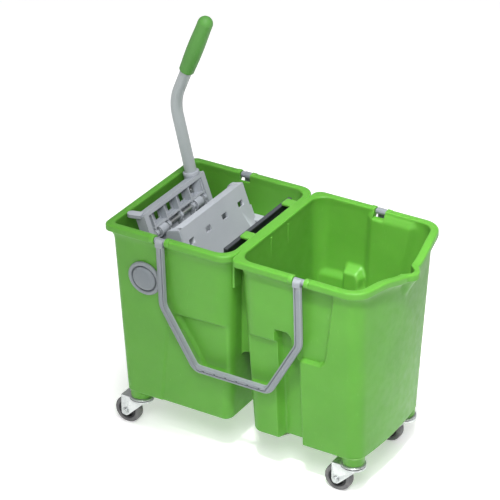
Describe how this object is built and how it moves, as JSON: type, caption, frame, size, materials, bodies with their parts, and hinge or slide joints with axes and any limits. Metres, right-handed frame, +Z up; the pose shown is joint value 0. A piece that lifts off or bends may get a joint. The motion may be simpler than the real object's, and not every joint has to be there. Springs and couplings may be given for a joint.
{
  "type": "mop bucket with wringer",
  "caption": "Twin-compartment plastic mop bucket on swivel castors, with a lever-operated flat mop press wringer, a pouring lip and carrying bails.",
  "frame": {"origin": "on the floor, under the middle of the whole bucket's box", "axes": "+X from the wringer tub towards the rinse tub and its pouring lip, +Y across the bucket, +Z up"},
  "size_m": [0.545, 0.3026, 0.7307],
  "materials": {
    "tub_green": "moulded polypropylene, fine satin",
    "grey_plastic": "moulded plastic, satin",
    "dark_plastic": "moulded plastic, matte",
    "black_plastic": "moulded plastic, matte",
    "grey_tube": "powder-coated steel tube",
    "grip_green": "moulded grip, satin",
    "zinc": "bright zinc plate",
    "tyre": "solid grey rubber"
  },
  "bodies": {
    "bucket": {"twin_tub": "tub_green", "cap_front": "grey_plastic", "cap_back": "grey_plastic", "fixed_jaw": "grey_plastic", "hanger_frame": "dark_plastic", "hanger_screws": "zinc", "pivot_rod": "zinc", "rod_clips": "zinc", "castor_front_left_stem": "zinc", "castor_front_left_race": "zinc", "castor_front_right_stem": "zinc", "castor_front_right_race": "zinc", "castor_back_left_stem": "zinc", "castor_back_left_race": "zinc", "castor_back_right_stem": "zinc", "castor_back_right_race": "zinc"},
    "bail_front": {"bail_front": "grey_plastic"},
    "bail_back": {"bail_back": "grey_plastic"},
    "press_jaw": {"moving_jaw": "grey_plastic", "cross_rod": "zinc", "rod_hubs": "grey_plastic", "lever_tube": "grey_tube", "lever_grip": "grip_green", "lever_bolt": "zinc", "lever_nut": "zinc"},
    "front_left_swivel": {"castor_front_left_fork": "zinc", "castor_front_left_axle": "zinc"},
    "front_left_wheel": {"castor_front_left_hub": "black_plastic", "castor_front_left_tyre": "tyre"},
    "front_right_swivel": {"castor_front_right_fork": "zinc", "castor_front_right_axle": "zinc"},
    "front_right_wheel": {"castor_front_right_hub": "black_plastic", "castor_front_right_tyre": "tyre"},
    "back_left_swivel": {"castor_back_left_fork": "zinc", "castor_back_left_axle": "zinc"},
    "back_left_wheel": {"castor_back_left_hub": "black_plastic", "castor_back_left_tyre": "tyre"},
    "back_right_swivel": {"castor_back_right_fork": "zinc", "castor_back_right_axle": "zinc"},
    "back_right_wheel": {"castor_back_right_hub": "black_plastic", "castor_back_right_tyre": "tyre"}
  },
  "joints": [
    {"name": "bail_front_swing", "type": "hinge", "parent": "bucket", "child": "bail_front", "pos_m": [-0.0085, -0.142, 0.414], "axis": [-1, 0, 0], "range_deg": [0, 210]},
    {"name": "bail_back_swing", "type": "hinge", "parent": "bucket", "child": "bail_back", "pos_m": [-0.0085, 0.142, 0.414], "axis": [1, 0, 0], "range_deg": [0, 210]},
    {"name": "jaw_press", "type": "hinge", "parent": "bucket", "child": "press_jaw", "pos_m": [-0.1605, 0, 0.302], "axis": [0, 1, 0], "range_deg": [0, 20]},
    {"name": "front_left_swivel", "type": "hinge", "parent": "bucket", "child": "front_left_swivel", "pos_m": [-0.2205, -0.091, 0], "axis": [0, 0, 1], "continuous": true},
    {"name": "front_left_spin", "type": "hinge", "parent": "front_left_swivel", "child": "front_left_wheel", "pos_m": [-0.2475, -0.091, 0.025], "axis": [0, 1, 0], "continuous": true},
    {"name": "front_right_swivel", "type": "hinge", "parent": "bucket", "child": "front_right_swivel", "pos_m": [0.2065, -0.091, 0], "axis": [0, 0, 1], "continuous": true},
    {"name": "front_right_spin", "type": "hinge", "parent": "front_right_swivel", "child": "front_right_wheel", "pos_m": [0.1795, -0.091, 0.025], "axis": [0, 1, 0], "continuous": true},
    {"name": "back_left_swivel", "type": "hinge", "parent": "bucket", "child": "back_left_swivel", "pos_m": [-0.2205, 0.091, 0], "axis": [0, 0, 1], "continuous": true},
    {"name": "back_left_spin", "type": "hinge", "parent": "back_left_swivel", "child": "back_left_wheel", "pos_m": [-0.2475, 0.091, 0.025], "axis": [0, 1, 0], "continuous": true},
    {"name": "back_right_swivel", "type": "hinge", "parent": "bucket", "child": "back_right_swivel", "pos_m": [0.2065, 0.091, 0], "axis": [0, 0, 1], "continuous": true},
    {"name": "back_right_spin", "type": "hinge", "parent": "back_right_swivel", "child": "back_right_wheel", "pos_m": [0.1795, 0.091, 0.025], "axis": [0, 1, 0], "continuous": true}
  ]
}
